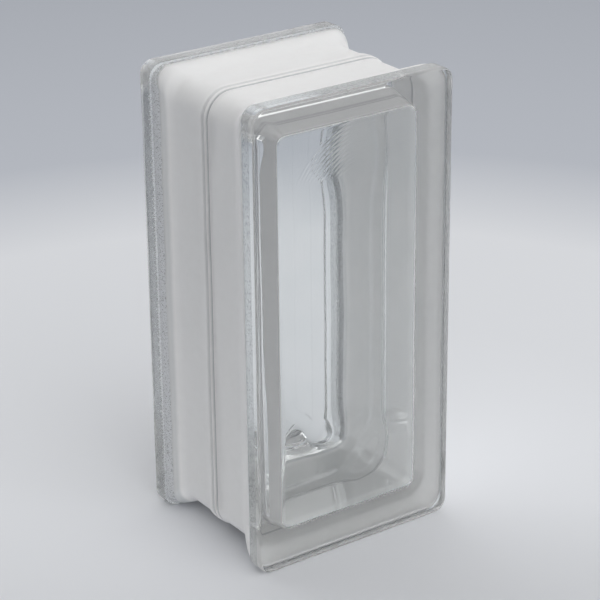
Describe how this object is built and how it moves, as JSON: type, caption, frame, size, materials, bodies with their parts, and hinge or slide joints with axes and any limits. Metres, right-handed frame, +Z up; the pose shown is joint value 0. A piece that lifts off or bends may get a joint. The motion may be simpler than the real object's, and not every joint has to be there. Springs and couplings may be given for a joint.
{
  "type": "glass block",
  "caption": "Hollow clear glass building block with flanged faces, a mortar groove round its edges, a fused seam bead and a white edge coat.",
  "frame": {"origin": "under the middle of the block, on the floor that it stands on", "axes": "+X across the faces, +Y through the block with the front face at -Y, +Z up along the long side of the faces"},
  "size_m": [0.0952, 0.0794, 0.1969],
  "materials": {
    "clear_glass": "pressed clear glass with grainy rims",
    "white_coat": "sprayed matte white coat"
  },
  "bodies": {
    "root": {"glass_block": "clear_glass", "edge_coat": "white_coat"}
  },
  "joints": []
}
